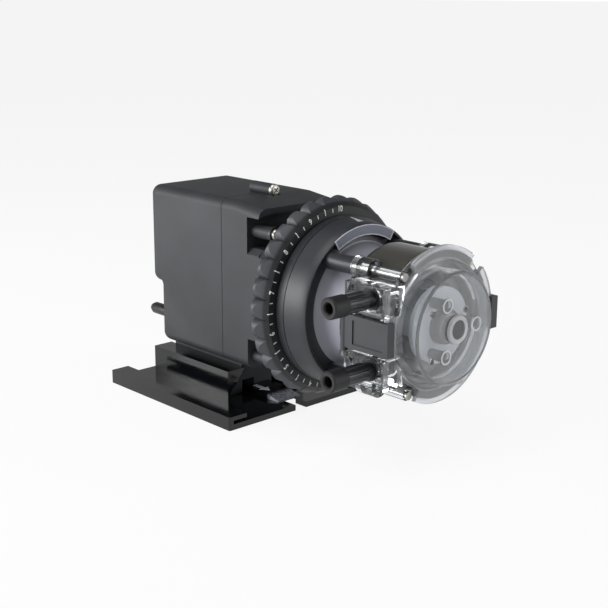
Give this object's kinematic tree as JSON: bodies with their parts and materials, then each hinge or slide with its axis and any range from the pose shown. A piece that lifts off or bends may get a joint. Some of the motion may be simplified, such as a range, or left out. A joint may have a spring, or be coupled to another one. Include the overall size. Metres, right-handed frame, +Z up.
{
  "type": "peristaltic metering pump",
  "caption": "Peristaltic metering pump on a slide-on bracket, with a lobed rate dial, a clear roller head and side tube ports.",
  "frame": {"origin": "centre of the bracket's underside", "axes": "+Z up, -Y towards the pump head, +Y towards the motor, +X to the right seen from the head end"},
  "size_m": [0.1515, 0.271, 0.1537],
  "materials": {
    "gloss_black": "gloss",
    "case_black": "matte",
    "clear_moulding": "clear gloss",
    "steel": "brushed",
    "brass": "plain",
    "copper_winding": "enamelled wire",
    "white_moulding": "matte",
    "tube_rubber": "satin"
  },
  "bodies": {
    "pump_frame": {"mounting_bracket": "gloss_black", "motor_cover": "case_black", "cord_gland": "case_black", "gear_case": "case_black", "motor_plate": "steel", "gear_post": "steel", "spindle_bearing": "brass", "stator_core": "steel", "coil_bobbin": "white_moulding", "coil_winding": "copper_winding", "front_motor_bracket": "steel", "rear_motor_bracket": "steel", "motor_bushes": "brass", "motor_bolts": "steel", "control_housing": "case_black", "case_screws": "steel", "cover_screw": "steel", "plate_screws": "steel", "front_housing": "case_black", "shaft_bearing": "brass", "tube_housing": "clear_moulding", "head_screws": "steel", "latch_pins": "steel", "upper_fitting": "case_black", "lower_fitting": "case_black", "upper_nut": "case_black", "lower_nut": "case_black", "ferrules": "white_moulding", "pump_tube": "tube_rubber", "head_cover": "clear_moulding", "cover_bearing": "brass"},
    "motor_rotor": {"rotor_core": "steel", "motor_shaft": "steel", "cooling_fan": "white_moulding", "motor_pinion": "brass"},
    "idler": {"intermediate_gear": "white_moulding"},
    "spindle": {"spindle_gear": "white_moulding", "output_spindle": "steel", "drive_disc": "white_moulding", "index_pin": "steel", "index_spring": "steel"},
    "roller_carrier": {"index_plate": "steel", "main_shaft": "steel", "roller_hub": "white_moulding", "roller_pins": "steel"},
    "roller_one": {"roller_a": "white_moulding"},
    "roller_two": {"roller_b": "white_moulding"},
    "roller_three": {"roller_c": "white_moulding"},
    "dial": {"dial_ring": "case_black", "variable_cam": "white_moulding"},
    "latch_l": {"left_latch": "case_black"},
    "latch_r": {"right_latch": "case_black"},
    "tongue": {"latch_tongue": "gloss_black"}
  },
  "joints": [
    {"name": "rotor_spin", "type": "hinge", "parent": "pump_frame", "child": "motor_rotor", "pos_m": [0, 0, 0.085], "axis": [0, 1, 0], "continuous": true},
    {"name": "idler_spin", "type": "hinge", "parent": "pump_frame", "child": "idler", "pos_m": [0, 0, 0.1144], "axis": [0, 1, 0], "continuous": true},
    {"name": "spindle_spin", "type": "hinge", "parent": "pump_frame", "child": "spindle", "pos_m": [0, 0, 0.085], "axis": [0, 1, 0], "continuous": true},
    {"name": "carrier_spin", "type": "hinge", "parent": "pump_frame", "child": "roller_carrier", "pos_m": [0, 0, 0.085], "axis": [0, 1, 0], "continuous": true},
    {"name": "roller_one_spin", "type": "hinge", "parent": "roller_carrier", "child": "roller_one", "pos_m": [-0.00925, -0.1725, 0.10102], "axis": [0, 1, 0], "continuous": true},
    {"name": "roller_two_spin", "type": "hinge", "parent": "roller_carrier", "child": "roller_two", "pos_m": [0.0185, -0.1725, 0.085], "axis": [0, 1, 0], "continuous": true},
    {"name": "roller_three_spin", "type": "hinge", "parent": "roller_carrier", "child": "roller_three", "pos_m": [-0.00925, -0.1725, 0.06898], "axis": [0, 1, 0], "continuous": true},
    {"name": "dial_turn", "type": "hinge", "parent": "pump_frame", "child": "dial", "pos_m": [0, -0.092, 0.085], "axis": [0, 1, 0], "range_deg": [0, 236.2]},
    {"name": "left_latch_open", "type": "hinge", "parent": "pump_frame", "child": "latch_l", "pos_m": [-0.0499, -0.154, 0.085], "axis": [0, 0, -1], "range_deg": [0, 60]},
    {"name": "right_latch_open", "type": "hinge", "parent": "pump_frame", "child": "latch_r", "pos_m": [0.0499, -0.154, 0.085], "axis": [0, 0, 1], "range_deg": [0, 60]},
    {"name": "tongue_press", "type": "hinge", "parent": "pump_frame", "child": "tongue", "pos_m": [-0.005, -0.0105, 0.003], "axis": [1, 0, 0], "range_deg": [0, 3.5], "stiffness_Nm_per_rad": 6}
  ],
  "couplings": [
    {"joint": "idler_spin", "follows": "rotor_spin", "ratio": -0.16667},
    {"joint": "spindle_spin", "follows": "rotor_spin", "ratio": 0.027778},
    {"joint": "carrier_spin", "follows": "rotor_spin", "ratio": 0.027778},
    {"joint": "roller_one_spin", "follows": "rotor_spin", "ratio": -0.10684},
    {"joint": "roller_two_spin", "follows": "rotor_spin", "ratio": -0.10684},
    {"joint": "roller_three_spin", "follows": "rotor_spin", "ratio": -0.10684}
  ]
}
